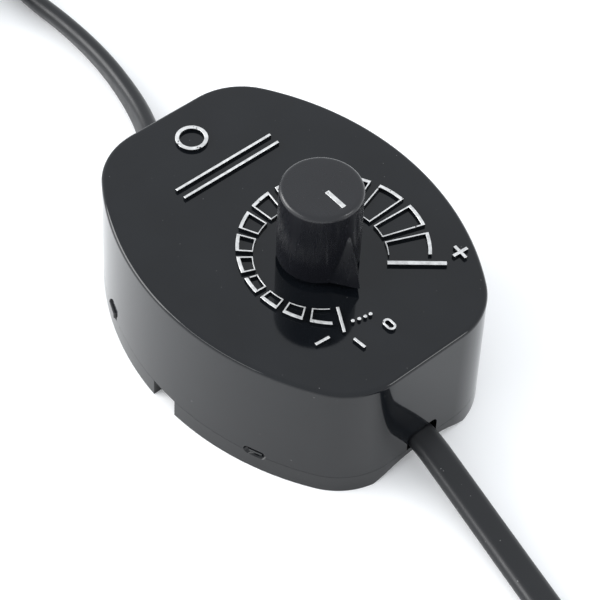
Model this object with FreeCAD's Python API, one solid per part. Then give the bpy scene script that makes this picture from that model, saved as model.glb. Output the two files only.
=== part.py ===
import FreeCAD, Part
import math
import os

# In-line rotary speed controller: a moulded box with a flat cord in at one end and out at the other.
# Millimetres. +X runs along the box towards the load end, +Z is up, the base stands on z = 0.

V = FreeCAD.Vector
UP = V(0, 0, 1)

# Housing
half_length = 47.5
half_width = 37.0
end_offset = 18.75          # half width at which the side arc meets the end plane
corner_radius = 17.6
height = 36.0
flare = 0.87                # how far the foot stands out past the top, the mould draft
wall = 2.2
roof = 2.5
top_edge_radius = 1.0
split = 5.2                 # height of the joint between shell and base
side_radius = (half_length**2 + (half_width - end_offset) ** 2) / (2 * (half_width - end_offset))
side_centre = half_width - side_radius
corner_x = half_length - corner_radius
corner_y = side_centre + math.sqrt((side_radius - corner_radius) ** 2 - corner_x**2)
ceiling = height - roof

# Base cover
floor_thick = 2.0
lip_gap = 0.15
lip_thick = 1.2
lip_top = 8.2
hook_lean = 22.4            # degrees by which the side wall has turned at the snap windows
window_corner = 1.2
near_window = (26.7, 5.4, 4.25, 6.85)     # centre along X, length, low and high edge
far_window = (-26.7, 5.3, 4.6, 8.0)
notch_from = -4.3
notch_to = 3.5
arch_half_width = 14.3
arch_rise = 3.8

# Cords
cord_wide = 7.5
cord_thick = 4.6
cord_z = split + cord_thick / 2
slot_half_width = 4.6
slot_top = 10.2
core_radius = 1.2
core_pitch = 2.9
jacket_end = 37.0

# Dial
dial_x = 9.5                # the knob's axis
marks_x = 10.45             # middle of the ring of frames
mark_height = 0.8
foil_thick = 0.08
frame_count = 14
frame_pitch = 20.0
frame_first = 52.0
frame_angle = 14.9
frame_inner = 15.5
frame_outer = 22.6
frame_shift = 4.0           # the outer circle stands this far to +Y, so the frames grow
inner_stroke = 0.28
side_stroke = 0.38
outer_stroke = 0.85
bar_stroke = 1.1
short_stroke = 0.7
plus_stroke = 0.8
plus_at = (19.3, 25.8)
dot_ring = 20.0
dot_angles = (-19.7, -15.2, -10.8, -6.8)
dot_radius = 0.45
ring_x = -36.8
rule_x = (-25.9, -22.9)
rule_y = 1.05
rule_length = 28.7

# Knob
knob_radius = 9.6
knob_foot_radius = 9.7
knob_bottom = height + 1.6
knob_top = height + 23.4
pointer_tip = 14.5
pointer_side = 0.74                 # half width gained for each millimetre back from the edge
pointer_crest = (10.4, 50.3)        # reach and height of the upper end of its edge
pointer_back = 7.8
crest_fall = 1.18                   # slope from the crest's end up to the knob
bore_clearance = 0.1

# Potentiometer and board
shaft_radius = 3.0
shaft_top = 55.0
shaft_flat = 1.5
bush_radius = 3.5
bush_top = 39.5
can_radius = 8.5
can_wall = 0.6
can_bottom = 24.5
switch_bottom = 18.0
stem_radius = 1.5
board_bottom = 11.0
board_thick = 1.6
board_top = board_bottom + board_thick
board_half_x = 30.0
board_half_y = 22.0
post_x = 26.0
post_y = 17.0
block_x = 25.5
entry_z = board_top + 4.0
choke_x = -9.0
choke_y = -12.0
choke_z = board_top + 4.7

# Coils of put-away cord, turns on edge, two abreast
coil_outer_turn = 40.0
coil_inner_turn = 35.0
coil_foot = 0.6
supply_coil_at = V(-185, -10, 0)
load_coil_at = V(177, -10, 0)
supply_layers = 3
load_layers = 2
load_turns = 3.69
load_end_angle = -135 + 360 * load_turns
tie_thick = 0.6
tie_wide = 6.0
supply_tie_angle = 235.0
load_tie_angle = 20.0

# Plug, lying on the supply coil with its pins towards -X
plug_y = 15.3
plug_thick = 13.7
plug_wide = 35.3
plug_long = 36.0
plug_rear = -199.0
relief_length = 15.0
pin_radius = 2.0
pin_root = 1.5
pin_length = 19.0
pin_spacing = 18.6

# Routes of the cords outside the coils, from inside the housing outwards
supply_route = [
    V(-jacket_end, 0, cord_z),
    V(-47, 0, cord_z),
    V(-58.3, 3.9, 7.0),
    V(-68, 10.6, 5.3),
    V(-81, 15.3, 4.0),
    V(-98, 18.4, 3.8),
    V(-116, 18.7, 3.8),
    V(-132, 17, 3.8),
    V(-148, 18.5, 3.9),
    V(-161, 23.4, 4.2),
    V(-173, 28.8, coil_foot + cord_wide / 2),
]
load_route = [
    V(jacket_end, 0, cord_z),
    V(48, 0, cord_z),
    V(60.5, -1.6, 5.6),
    V(74, -3.4, 3.6),
    V(91, -6.5, 3.0),
    V(108, -9.8, 3.2),
    V(121, -14.5, 3.8),
    V(132, -22.3, 3.9),
    V(141, -31.6, 4.1),
    V(148.7, -39.3, coil_foot + cord_wide / 2),
]


def box(x0, x1, y0, y1, z0, z1):
    return Part.makeBox(x1 - x0, y1 - y0, z1 - z0, V(x0, y0, z0))


def cylinder(x, y, z0, z1, radius):
    return Part.makeCylinder(radius, z1 - z0, V(x, y, z0), UP)


def tube(x, y, z0, z1, outer, inner):
    return cylinder(x, y, z0, z1, outer).cut(cylinder(x, y, z0 - 1, z1 + 1, inner))


def join(first, *others):
    return first.multiFuse(list(others)).removeSplitter()


def mirrored_x(shape):
    return shape.mirror(V(0, 0, 0), V(1, 0, 0))


def prism(points, z0, z1):
    ring = Part.makePolygon([V(x, y, z0) for x, y in points + points[:1]])
    return Part.Face(ring).extrude(V(0, 0, z1 - z0))


def save(name, shape):
    shape.exportStep("parts/" + name + ".step")
    print(f"{name}: {len(shape.Solids)} solid, {shape.Volume:.0f} mm3, valid {shape.isValid()}")


def outline(grow, z):
    """Plan outline of the housing, offset outwards by grow: two side arcs, four corner arcs, two ends."""
    length = half_length + grow
    lean = math.atan2(corner_y - side_centre, corner_x)
    touch_x = corner_x + (corner_radius + grow) * math.cos(lean)
    touch_y = corner_y + (corner_radius + grow) * math.sin(lean)
    middle = lean / 2
    knee_x = corner_x + (corner_radius + grow) * math.cos(middle)
    knee_y = corner_y + (corner_radius + grow) * math.sin(middle)
    width = half_width + grow
    quarter = [(length, corner_y), (knee_x, knee_y), (touch_x, touch_y)]
    arcs = [
        quarter,
        [(touch_x, touch_y), (0, width), (-touch_x, touch_y)],
        [(-x, y) for x, y in reversed(quarter)],
        [(-x, -y) for x, y in quarter],
        [(-touch_x, -touch_y), (0, -width), (touch_x, -touch_y)],
        [(x, -y) for x, y in reversed(quarter)],
    ]
    edges = []
    for index, arc in enumerate(arcs):
        points = [V(x, y, z) for x, y in arc]
        edges.append(Part.Arc(*points).toShape())
        if index in (2, 5):
            following = arcs[(index + 1) % 6][0]
            edges.append(Part.makeLine(points[2], V(following[0], following[1], z)))
    return Part.Wire(edges)


def drafted(z0, z1, inset):
    """Block with the outline of the housing between two heights, inset from its outer skin."""
    rings = [outline(flare * (1 - z / height) - inset, z) for z in (z0, z1)]
    return Part.makeLoft(rings, True, True)


def window(place):
    """Block with rounded corners that stands for one snap window, through both side walls."""
    x, length, low, high = place
    reach = half_width + 5
    block = box(x - length / 2, x + length / 2, -reach, reach, low, high)
    along_y = [e for e in block.Edges if abs(e.tangentAt(e.FirstParameter).y) > 0.99]
    return block.makeFillet(window_corner, along_y)


def wedge(angle, half_angle, inset_low, inset_high):
    """Sector one unit thick about the dial centre, its two sides moved inwards by the given strokes."""
    far = 40
    low = math.radians(angle - half_angle)
    high = math.radians(angle + half_angle)
    low_end = (far * math.cos(low), far * math.sin(low))
    high_end = (far * math.cos(high), far * math.sin(high))
    sector = prism([(0, 0), low_end, high_end], 0, 1)
    low_side = box(-5, far, 0, far, -1, 2)
    low_side.rotate(V(0, 0, 0), UP, angle - half_angle)
    low_side.translate(V(-math.sin(low), math.cos(low), 0) * inset_low)
    high_side = box(-5, far, -far, 0, -1, 2)
    high_side.rotate(V(0, 0, 0), UP, angle + half_angle)
    high_side.translate(V(math.sin(high), -math.cos(high), 0) * inset_high)
    return sector.common(low_side).common(high_side)


def growing_frames():
    """Fourteen outlined frames round the dial. The first and the last are open on one side."""
    def band(inner, outer):
        return cylinder(0, frame_shift, 0, 1, outer).cut(cylinder(0, 0, -1, 2, inner))

    whole = band(frame_inner, frame_outer)
    inside = band(frame_inner + inner_stroke, frame_outer - outer_stroke)
    frames = []
    for index in range(frame_count):
        angle = frame_first + frame_pitch * index + frame_angle / 2
        low = -1 if index == 0 else side_stroke
        high = -1 if index == frame_count - 1 else side_stroke
        outer = whole.common(wedge(angle, frame_angle / 2, 0, 0))
        frames.append(outer.cut(inside.common(tall(open_wedge(angle, low, high)))))
    return frames


def open_wedge(angle, low, high):
    spread = frame_angle / 2
    low_extra = 4 if low < 0 else 0
    high_extra = 4 if high < 0 else 0
    middle = angle + (high_extra - low_extra) / 2
    half = spread + (high_extra + low_extra) / 2
    return wedge(middle, half, max(low, 0), max(high, 0))


def tall(shape):
    """Same plan, reaching past both faces of a unit-thick mark."""
    copy = shape.copy()
    stretch = FreeCAD.Matrix()
    stretch.A33 = 3
    copy = copy.transformGeometry(stretch)
    copy.translate(V(0, 0, -1))
    return copy


def turned_bar(x, y, angle, length, stroke):
    bar = box(-length / 2, length / 2, -stroke / 2, stroke / 2, 0, 1)
    bar.rotate(V(0, 0, 0), UP, angle)
    bar.translate(V(x, y, 0))
    return bar


def dial_marks():
    """Every raised mark, one unit thick on z = 0, round the middle of the ring of frames."""
    marks = growing_frames()
    full_bar = turned_bar(15.5, 15.8, 50.3, 13.7, bar_stroke)
    zero_bar = turned_bar(16.9, -8.6, -28.8, 7.2, short_stroke)
    low_tick = turned_bar(18.8, -15.7, -94.9, 3.8, short_stroke)
    high_tick = turned_bar(24.4, -9.7, 5.2, 3.4, short_stroke)
    marks += [full_bar, zero_bar, low_tick, high_tick]
    plus = join(turned_bar(0, 0, -4, 4.2, plus_stroke), turned_bar(0, 0, 86, 4.2, plus_stroke))
    plus.translate(V(plus_at[0], plus_at[1], 0))
    marks.append(plus)
    for angle in dot_angles:
        turn = math.radians(angle)
        marks.append(cylinder(dot_ring * math.cos(turn), dot_ring * math.sin(turn), 0, 1, dot_radius))
    marks.append(zero_mark(24.7, -1.05))
    return marks


def zero_mark(x, y):
    def stadium(half_x, radius):
        ends = [cylinder(x + side * half_x, y, 0, 1, radius) for side in (-1, 1)]
        return join(box(x - half_x, x + half_x, y - radius, y + radius, 0, 1), *ends)

    return stadium(0.6, 1.15).cut(tall(stadium(0.6, 0.58)))


def plain_marks():
    """Plain ring and double rule at the far end of the top face."""
    ring = tube(ring_x, 0, 0, 1, 4.0, 3.0)
    rules = [turned_bar(x, rule_y, 90, rule_length, short_stroke) for x in rule_x]
    return [ring] + rules


def layer_of(marks, z0, thickness):
    flat = FreeCAD.Matrix()
    flat.A33 = thickness
    layer = Part.makeCompound(marks).transformGeometry(flat)
    layer.translate(V(0, 0, z0))
    return layer


def all_marks():
    dial = []
    for mark in dial_marks():
        mark.translate(V(marks_x, 0, 0))
        dial.append(mark)
    return dial + plain_marks()


def top_shell():
    skin = drafted(split, height, 0)
    rim = [e for e in skin.Edges if e.BoundBox.ZMin > height - 0.01]
    skin = skin.makeFillet(top_edge_radius, rim)
    shell = skin.cut(drafted(split - 0.01, ceiling, wall))
    middle = box(-half_length, half_length, -half_width + 13, half_width - 13, 0, height)
    for place in (near_window, far_window):
        shell = shell.cut(window(place).cut(middle))
    shell = shell.cut(cord_slot())
    shell = shell.cut(cylinder(dial_x, 0, ceiling - 1, height + 1, bush_radius + 0.1))
    posts = [
        tube(side_x * post_x, side_y * post_y, board_top, ceiling + 0.5, 3.0, 1.45)
        for side_x in (-1, 1)
        for side_y in (-1, 1)
    ]
    raised = layer_of(all_marks(), height - 0.2, mark_height + 0.2)
    return join(shell, *posts, *raised.Solids)


def cord_slot():
    reach = half_length + 5
    corner = 1.6
    slot = box(-reach, reach, -slot_half_width, slot_half_width, split - 1, slot_top - corner)
    slot = slot.fuse(
        box(-reach, reach, -slot_half_width + corner, slot_half_width - corner, split - 1, slot_top)
    )
    for side in (-1, 1):
        y = side * (slot_half_width - corner)
        slot = slot.fuse(Part.makeCylinder(corner, 2 * reach, V(-reach, y, slot_top - corner), V(1, 0, 0)))
    middle = box(-half_length + 8, half_length - 8, -10, 10, split - 2, slot_top + 2)
    return slot.cut(middle)


def base_cover():
    cover = drafted(0, split, 0).cut(drafted(floor_thick, split + 0.01, wall))
    lip = drafted(floor_thick - 0.5, lip_top, wall + lip_gap)
    lip = lip.cut(drafted(floor_thick - 1, lip_top + 0.01, wall + lip_gap + lip_thick))
    lip = lip.cut(box(-60, 60, -slot_half_width - 1, slot_half_width + 1, 0, 20))
    for side in (-1, 1):
        lip = lip.cut(box(notch_from - 1, notch_to + 1, side * 40 - 10, side * 40 + 10, 0, 20))
    saddles = [box(38.0, 46.0, -11.0, 11.0, floor_thick - 0.5, split)]
    saddles.append(mirrored_x(saddles[0]))
    cover = join(cover, lip, *saddles)
    for place in (near_window, far_window):
        cover = cover.cut(window(place).cut(drafted(0, height, 1.0)))
    for side in (-1, 1):
        outer = side * (half_width + 3)
        inner = side * (half_width - wall + 0.6)
        cover = cover.cut(box(notch_from, notch_to, min(outer, inner), max(outer, inner), -1, split + 1))
        for y in (-8, 8):
            cover = cover.cut(cylinder(side * 40, y, floor_thick + 0.4, split + 1, 1.45))
    arch = Part.Face(
        Part.Wire(
            [
                Part.Arc(V(43, -arch_half_width, 0), V(43, 0, arch_rise), V(43, arch_half_width, 0)).toShape(),
                Part.makeLine(V(43, arch_half_width, 0), V(43, arch_half_width, -1)),
                Part.makeLine(V(43, arch_half_width, -1), V(43, -arch_half_width, -1)),
                Part.makeLine(V(43, -arch_half_width, -1), V(43, -arch_half_width, 0)),
            ]
        )
    ).extrude(V(10, 0, 0))
    hooks = [hook for side in (-1, 1) for hook in (near_hook(side), far_hook(side))]
    return join(cover.cut(arch).cut(mirrored_x(arch)), *hooks)


def snap_hook(place, side, tongue_half, tongue_top, nose_half, profile, nose_corner):
    """Springy tongue behind the wall with a nose in its snap window.

    It is drawn with the outer skin of the wall on y = 0, then leant and moved on to the wall.
    """
    x, _, low, _ = place
    tongue = box(-tongue_half, tongue_half, -wall - 2.2, -wall - 0.25, floor_thick - 0.5, tongue_top)
    nose = Part.Face(Part.makePolygon([V(-nose_half, y, z) for y, z in profile + profile[:1]]))
    nose = nose.extrude(V(2 * nose_half, 0, 0))
    outer = max(y for y, z in profile)
    front = [e for e in nose.Edges if e.CenterOfMass.y > outer - 0.01]
    upright = [e for e in front if abs(e.tangentAt(e.FirstParameter).z) > 0.99]
    nose = nose.makeFillet(nose_corner, upright)
    hook = join(tongue, nose)
    skin = side_radius + flare * (1 - low / height)
    hook.rotate(V(0, 0, 0), UP, -math.copysign(hook_lean, x))
    hook.translate(V(x, side_centre + math.sqrt(skin**2 - x**2), 0))
    return hook if side > 0 else hook.mirror(V(0, 0, 0), V(0, 1, 0))


def near_hook(side):
    profile = [(-wall - 0.6, 4.9), (-0.45, 4.9), (-0.45, 5.6), (-wall - 0.6, 6.3)]
    return snap_hook(near_window, side, 3.0, lip_top, 1.9, profile, 0.3)


def far_hook(side):
    """This nose is a lug that stands out of its window."""
    profile = [(-wall - 0.6, 5.7), (0.5, 5.7), (0.5, 7.4), (0.2, 7.7), (-wall - 0.6, 7.7)]
    return snap_hook(far_window, side, 3.0, 8.6, 2.3, profile, 0.6)


def circuit_board():
    board = box(-board_half_x, board_half_x, -board_half_y, board_half_y, board_bottom, board_top)
    board = board.makeFillet(4, [e for e in board.Edges if e.Length < board_thick + 0.01])
    for x in (-post_x, post_x):
        for y in (-post_y, post_y):
            board = board.cut(cylinder(x, y, board_bottom - 1, board_top + 1, 1.6))
    return board


def pan_screw(x, y, seat, tip, head_radius, head_height):
    """Pan-head screw. The head stands on the seat, on the side away from the tip."""
    outwards = 1 if seat > tip else -1
    top = seat + outwards * head_height
    head = cylinder(x, y, min(seat, top), max(seat, top), head_radius)
    face = [e for e in head.Edges if abs(e.CenterOfMass.z - top) < 0.01 and e.Length > 1]
    head = head.makeFillet(head_height * 0.4, face)
    deep = top - outwards * 0.9
    low, high = sorted((deep, top + outwards))
    for turn in (0, 90):
        blade = box(-1.4, 1.4, -0.25, 0.25, low, high)
        blade.rotate(V(0, 0, 0), UP, turn + 20)
        blade.translate(V(x, y, 0))
        head = head.cut(blade)
    return head.fuse(cylinder(x, y, min(seat, tip), max(seat, tip), 1.4))


def board_screws():
    return Part.makeCompound(
        [pan_screw(x, y, board_bottom, board_top + 7, 2.6, 1.7) for x in (-post_x, post_x) for y in (-post_y, post_y)]
    )


def pot_body():
    can = cylinder(dial_x, 0, can_bottom, ceiling, can_radius)
    can = can.cut(cylinder(dial_x, 0, can_bottom - 1, ceiling - can_wall, can_radius - can_wall))
    can = can.cut(cylinder(dial_x, 0, ceiling - 2, ceiling + 1, bush_radius + 0.02))
    legs = box(dial_x - 6.5, dial_x + 6.5, -can_radius - 1, -can_radius + 1.5, can_bottom - 1, can_bottom + 3)
    return can.cut(legs)


def pot_track():
    return tube(dial_x, 0, can_bottom, can_bottom + 0.8, can_radius - can_wall - 0.05, stem_radius + 0.3)


def pot_terminals():
    legs = []
    for offset in (-5, 0, 5):
        x = dial_x + offset
        tab = box(x - 0.9, x + 0.9, -10.2, -7.4, can_bottom + 0.85, can_bottom + 1.25)
        leg = box(x - 0.9, x + 0.9, -10.2, -9.8, board_bottom - 1, can_bottom + 1.25)
        legs.append(join(tab, leg))
    return Part.makeCompound(legs)


def pot_bush():
    bush = tube(dial_x, 0, ceiling - can_wall, bush_top, bush_radius, shaft_radius + 0.05)
    flange = tube(dial_x, 0, ceiling - can_wall - 0.9, ceiling - can_wall, 5.0, shaft_radius + 0.05)
    return join(bush, flange)


def pot_nut():
    points = [(dial_x + 5.7 * math.cos(k * math.pi / 3), 5.7 * math.sin(k * math.pi / 3)) for k in range(6)]
    return prism(points, height + 0.5, height + 2.5).cut(cylinder(dial_x, 0, height, height + 3, bush_radius + 0.02))


def pot_shaft():
    shaft = cylinder(dial_x, 0, can_bottom + 2.4, shaft_top, shaft_radius)
    stem = cylinder(dial_x, 0, switch_bottom + 1.4, can_bottom + 2.4, stem_radius)
    flat = box(dial_x + shaft_flat, dial_x + 5, -5, 5, bush_top + 1.5, shaft_top + 1)
    return join(shaft, stem).cut(flat)


def pot_wiper():
    hub = tube(dial_x, 0, can_bottom + 1.6, can_bottom + 2.3, 4.0, stem_radius)
    arm = box(dial_x - 1.2, dial_x + 1.2, 3.0, 7.0, can_bottom + 1.6, can_bottom + 2.0)
    finger = box(dial_x - 1.0, dial_x + 1.0, 6.2, 7.0, can_bottom + 0.9, can_bottom + 2.0)
    return join(hub, arm, finger)


def switch_housing():
    cup = cylinder(dial_x, 0, switch_bottom, can_bottom, can_radius)
    cup = cup.cut(cylinder(dial_x, 0, switch_bottom + 1.2, can_bottom + 1, can_radius - 1.3))
    return cup.cut(cylinder(dial_x, 0, switch_bottom - 1, switch_bottom + 3, stem_radius + 0.05))


def switch_cam():
    cam = tube(dial_x, 0, switch_bottom + 2.2, switch_bottom + 4.8, 4.4, stem_radius)
    lobe = box(dial_x + 2, dial_x + 6.2, -1.4, 1.4, switch_bottom + 2.2, switch_bottom + 4.8)
    return join(cam, lobe)


def switch_terminals():
    legs = []
    for offset in (-3.5, 3.5):
        x = dial_x + offset
        legs.append(
            join(
                box(x - 0.8, x + 0.8, can_radius - 1.0, can_radius + 1.6, switch_bottom - 0.4, switch_bottom),
                box(x - 0.8, x + 0.8, can_radius + 1.2, can_radius + 1.6, board_bottom - 1, switch_bottom),
            )
        )
    return Part.makeCompound(legs)


def knob():
    body = Part.makeCone(knob_foot_radius, knob_radius, knob_top - knob_bottom, V(dial_x, 0, knob_bottom))
    top_rim = [e for e in body.Edges if e.BoundBox.ZMin > knob_top - 0.01]
    body = body.makeFillet(1.1, top_rim)
    body = join(body, pointer())
    recess = tube(dial_x, 0, bush_top + 0.8, 44, 7.9, 5.0)
    body = body.cut(cylinder(dial_x, 0, knob_bottom - 1, bush_top + 0.8, 7.9)).cut(recess)
    bore = cylinder(dial_x, 0, bush_top, shaft_top + 0.3, shaft_radius + bore_clearance)
    bore = bore.cut(box(dial_x + shaft_flat + 0.42, dial_x + 5, -5, 5, bush_top + 1.6, shaft_top + 1))
    return body.cut(bore)


def pointer():
    """Prow on the +X side of the knob, its sharp edge leaning out from the crest to the tip."""
    reach, crest_z = pointer_crest
    tip = V(pointer_tip, 0, knob_bottom)
    crest = V(reach, 0, crest_z)
    ridge = V(pointer_back, 0, crest_z + crest_fall * (reach - pointer_back))
    foot_y = pointer_side * (pointer_tip - pointer_back)
    shoulder_y = pointer_side * (reach - pointer_back)
    feet = [V(pointer_back, side * foot_y, knob_bottom) for side in (-1, 1)]
    shoulders = [V(pointer_back, side * shoulder_y, crest_z) for side in (-1, 1)]
    faces = [[tip, feet[0], feet[1]], [feet[0], feet[1], shoulders[1], ridge, shoulders[0]]]
    for foot, shoulder in zip(feet, shoulders):
        faces += [[tip, foot, shoulder, crest], [shoulder, ridge, crest]]
    shell = Part.Shell([Part.Face(Part.makePolygon(corners + corners[:1])) for corners in faces])
    prow = Part.Solid(shell)
    if prow.Volume < 0:
        prow.reverse()
    prow.translate(V(dial_x, 0, 0))
    return prow


def knob_mark():
    return box(dial_x + 1.6, dial_x + 7.4, -bar_stroke / 2, bar_stroke / 2, knob_top, knob_top + foil_thick)


def knob_spring():
    x = dial_x + shaft_flat + 0.03
    return box(x, x + 0.36, -2.2, 2.2, bush_top + 2.0, shaft_top - 1)


def triac():
    body = box(5, 15, 13.3, 17.8, 16.5, 25.8)
    tab = box(5, 15, 16.5, 17.8, 25.8, 31.5)
    tab = tab.cut(Part.makeCylinder(1.8, 10, V(10, 12, 28.8), V(0, 1, 0)))
    legs = [box(x - 0.4, x + 0.4, 15.1, 15.6, board_bottom - 1, 16.5) for x in (7.5, 10, 12.5)]
    return join(body, tab, *legs)


def heatsink():
    plate = box(0.5, 21.5, 17.8, 19.4, board_top, 31.5)
    fins = [box(x, x + 1.2, 19.4, 21.8, board_top, 31.5) for x in (0.5, 4.5, 14.3, 18.3)]
    return join(plate, *fins).cut(Part.makeCylinder(1.5, 20, V(10, 12, 28.8), V(0, 1, 0)))


def heatsink_screw():
    shank = Part.makeCylinder(1.45, 7.6, V(10, 15.2, 28.8), V(0, 1, 0))
    head = Part.makeCylinder(2.7, 1.8, V(10, 14.7, 28.8), V(0, 1, 0))
    nut = Part.makeCylinder(2.8, 2.2, V(10, 19.4, 28.8), V(0, 1, 0))
    return join(shank, head, nut)


def choke_core():
    ring = tube(choke_x, choke_y, choke_z - 3.5, choke_z + 3.5, 8.0, 4.0)
    return ring.makeFillet(0.6, [e for e in ring.Edges if e.Length > 20])


def choke_winding():
    """Twelve loops of enamelled wire, each a rounded square round the section of the core."""
    loops = []
    half_r = 2.75
    half_h = 4.25
    bend = 1.4
    for index in range(12):
        ring = route_loop(6.0, half_r, half_h, bend)
        start = ring.Edges[0].Vertexes[0].Point
        section = Part.Wire(Part.makeCircle(0.45, start, ring.Edges[0].tangentAt(ring.Edges[0].FirstParameter)))
        loop = ring.makePipeShell([section], True, False)
        loop.rotate(V(0, 0, 0), UP, 25 + index * 28)
        loop.translate(V(choke_x, choke_y, choke_z))
        loops.append(loop)
    return Part.makeCompound(loops)


def route_loop(radius, half_r, half_h, bend):
    """Rounded rectangle in the XZ plane about (radius, 0, 0)."""
    corners = [(half_r, -half_h), (half_r, half_h), (-half_r, half_h), (-half_r, -half_h)]
    edges = []
    for index, (x, z) in enumerate(corners):
        sx = math.copysign(bend, x)
        sz = math.copysign(bend, z)
        near_z = V(radius + x, 0, z - sz)
        near_x = V(radius + x - sx, 0, z)
        cut = 1 - math.sqrt(0.5)
        knee = V(radius + x - sx * cut, 0, z - sz * cut)
        first, last = (near_x, near_z) if index in (0, 2) else (near_z, near_x)
        edges.append(Part.Arc(first, knee, last).toShape())
    sides = [
        Part.makeLine(edges[i].Vertexes[-1].Point, edges[(i + 1) % 4].Vertexes[0].Point) for i in range(4)
    ]
    ordered = [e for pair in zip(edges, sides) for e in pair]
    return Part.Wire(ordered)


def boxed_capacitor(x, y, long, wide, tall_by, pitch):
    body = box(x - long / 2, x + long / 2, y - wide / 2, y + wide / 2, board_top + 0.3, board_top + 0.3 + tall_by)
    body = body.makeFillet(0.5, body.Edges)
    legs = [cylinder(x + side * pitch / 2, y, board_bottom - 1, board_top + 1, 0.4) for side in (-1, 1)]
    return join(body, *legs)


def axial_part(x, y, body_length, body_radius, lead_radius, pitch):
    """Axial component lying along X, its wire bent down through the board at both ends."""
    z = board_top + body_radius + 0.3
    body = Part.makeCylinder(body_radius, body_length, V(x - body_length / 2, y, z), V(1, 0, 0))
    body = body.makeFillet(body_radius * 0.35, [e for e in body.Edges if isinstance(e.Curve, Part.Circle)])
    left = x - pitch / 2
    right = x + pitch / 2
    foot = board_bottom - 1
    wire = [V(left, y, foot), V(left, y, z), V(right, y, z), V(right, y, foot)]
    return join(body, round_tube(wire, lead_radius, "lead"))


def fuse():
    """Glass fuse with two metal caps, 5 x 20."""
    z = board_top + 4.2
    return Part.makeCylinder(2.5, 20, V(-21, 16, z), V(1, 0, 0))


def fuse_clips():
    z = board_top + 4.2
    clips = []
    for x in (-21.0, -5.5):
        ring = Part.makeCylinder(3.1, 4.5, V(x, 16, z), V(1, 0, 0))
        ring = ring.cut(Part.makeCylinder(2.52, 6, V(x - 1, 16, z), V(1, 0, 0)))
        ring = ring.cut(box(x - 1, x + 6, 14.5, 17.5, z, z + 5))
        foot = box(x, x + 4.5, 15.0, 17.0, board_top, z - 2.6)
        clips.append(join(ring, foot))
    return Part.makeCompound(clips)


def terminal_blocks():
    blocks = []
    block = box(block_x - 4, block_x + 4, -5.2, 5.2, board_top, board_top + 9.4)
    for y in (-2.6, 2.6):
        block = block.cut(cylinder(block_x, y, board_top + 2.2, board_top + 10, 1.9))
        block = block.cut(Part.makeCylinder(1.5, 5, V(block_x, y, entry_z), V(1, 0, 0)))
    return Part.makeCompound([block, mirrored_x(block)])


def terminal_screws():
    screws = []
    for side in (-1, 1):
        for y in (-2.6, 2.6):
            screw = cylinder(side * block_x, y, board_top + 5.4, board_top + 8.4, 1.85)
            slot = box(side * block_x - 2, side * block_x + 2, y - 0.3, y + 0.3, board_top + 7.6, board_top + 9)
            screws.append(screw.cut(slot))
    return Part.makeCompound(screws)


def cord_clamps():
    z0 = cord_z + cord_thick / 2
    bar = box(38.2, 41.8, -11, 11, z0, z0 + 2.2)
    for y in (-8, 8):
        bar = bar.cut(cylinder(40, y, z0 - 1, z0 + 4, 1.6))
    bar = bar.makeFillet(0.5, [e for e in bar.Edges if e.BoundBox.ZMin > z0 + 2.1 and e.Length > 15])
    return Part.makeCompound([bar, mirrored_x(bar)])


def clamp_screws():
    seat = cord_z + cord_thick / 2 + 2.2
    return Part.makeCompound(
        [pan_screw(side * 40, y, seat, floor_thick + 0.8, 2.6, 1.7) for side in (-1, 1) for y in (-8, 8)]
    )


def route_wire(points, name):
    """Straight runs joined by tangent arcs, each arc as large as its two runs allow."""
    edges = []
    start = points[0]
    radii = []
    for before, corner, after in zip(points, points[1:], points[2:]):
        run_in = corner - before
        run_out = after - corner
        half_turn = run_in.getAngle(run_out) / 2
        trim = 0.45 * min(run_in.Length, run_out.Length)
        radius = trim / math.tan(half_turn)
        radii.append(radius)
        u_in = V(run_in).normalize()
        u_out = V(run_out).normalize()
        arc_start = corner - u_in * trim
        arc_end = corner + u_out * trim
        inwards = (u_out - u_in).normalize()
        knee = corner + inwards * (radius / math.cos(half_turn) - radius)
        edges.append(Part.LineSegment(start, arc_start).toShape())
        edges.append(Part.Arc(arc_start, knee, arc_end).toShape())
        start = arc_end
    edges.append(Part.LineSegment(start, points[-1]).toShape())
    wire = Part.Wire(edges)
    print(f"{name}: {wire.Length:.1f} mm long, radii " + " ".join(f"{r:.0f}" for r in radii))
    return wire


def round_tube(points, radius, name):
    path = route_wire(points, name)
    direction = (points[1] - points[0]).normalize()
    section = Part.Wire(Part.makeCircle(radius, points[0], direction))
    solid = path.makePipeShell([section], True, False)
    print(f"  volume over section times length {solid.Volume / (math.pi * radius**2 * path.Length):.4f}")
    return solid


def flat_cord(points, name):
    """The flat jacket, two half rounds joined by flats, swept along the route with its width level."""
    path = route_wire(points, name)
    across = UP.cross((points[1] - points[0]).normalize()).normalize()
    radius = cord_thick / 2
    reach = cord_wide / 2 - radius
    centre = points[0]
    left = centre + across * reach
    right = centre - across * reach
    section = Part.Wire(
        [
            Part.Arc(left + UP * radius, left + across * radius, left - UP * radius).toShape(),
            Part.makeLine(left - UP * radius, right - UP * radius),
            Part.Arc(right - UP * radius, right - across * radius, right + UP * radius).toShape(),
            Part.makeLine(right + UP * radius, left + UP * radius),
        ]
    )
    sweep = Part.BRepOffsetAPI.MakePipeShell(path)
    sweep.setBiNormalMode(UP)
    sweep.add(section, False, False)
    sweep.build()
    sweep.makeSolid()
    solid = sweep.shape()
    area = math.pi * radius**2 + 4 * reach * radius
    print(f"  volume over section times length {solid.Volume / (area * path.Length):.4f}")
    return solid


def inner_cores(side_y):
    """One insulated core at each end, from the end of the jacket up to its terminal."""
    cores = []
    for side in (-1, 1):
        points = [
            V(side * jacket_end, side_y * core_pitch / 2, cord_z),
            V(side * 33.0, side_y * 1.9, cord_z + 0.8),
            V(side * 33.2, side_y * 2.5, entry_z - 0.8),
            V(side * (block_x + 2.4), side_y * 2.6, entry_z),
        ]
        cores.append(round_tube(points, core_radius, "core"))
    return Part.makeCompound(cores)


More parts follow.
